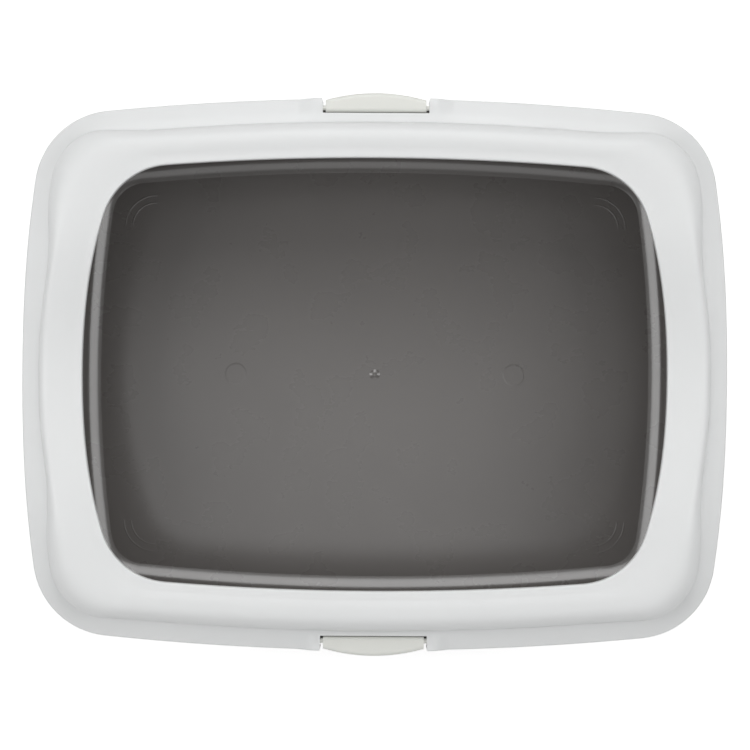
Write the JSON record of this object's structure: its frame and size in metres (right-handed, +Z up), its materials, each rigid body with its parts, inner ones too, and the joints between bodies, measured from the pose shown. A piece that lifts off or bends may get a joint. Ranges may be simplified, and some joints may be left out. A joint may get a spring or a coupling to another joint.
{
  "type": "cat litter box",
  "caption": "Open cat litter tray: a deep bowed pan with a clip-on splash rim that rises and turns inwards, held down by snap latches at the middle of its long sides.",
  "frame": {"origin": "centre of the tray's footprint, on the plane that its feet rest on", "axes": "+X along the tray's long side to the right, +Y to the back, +Z up; the front latch is on the -Y side"},
  "size_m": [0.5, 0.3964, 0.15],
  "materials": {
    "pan_plastic": "dark warm grey moulded polypropylene, satin gloss",
    "rim_plastic": "white moulded polypropylene, satin gloss",
    "latch_plastic": "off-white moulded polypropylene, slightly warmer than the rim"
  },
  "bodies": {
    "pan": {"pan": "pan_plastic"},
    "rim": {"rim": "rim_plastic"},
    "front_latch": {"front_latch": "latch_plastic"},
    "rear_latch": {"rear_latch": "latch_plastic"}
  },
  "joints": [
    {"name": "rim_lift", "type": "slide", "parent": "pan", "child": "rim", "axis": [0, 0, 1], "range_m": [0, 0.2]},
    {"name": "front_latch_hinge", "type": "hinge", "parent": "rim", "child": "front_latch", "pos_m": [0, -0.1875, 0.123], "axis": [-1, 0, 0], "range_deg": [0, 90]},
    {"name": "rear_latch_hinge", "type": "hinge", "parent": "rim", "child": "rear_latch", "pos_m": [0, 0.1875, 0.123], "axis": [1, 0, 0], "range_deg": [0, 90]}
  ]
}
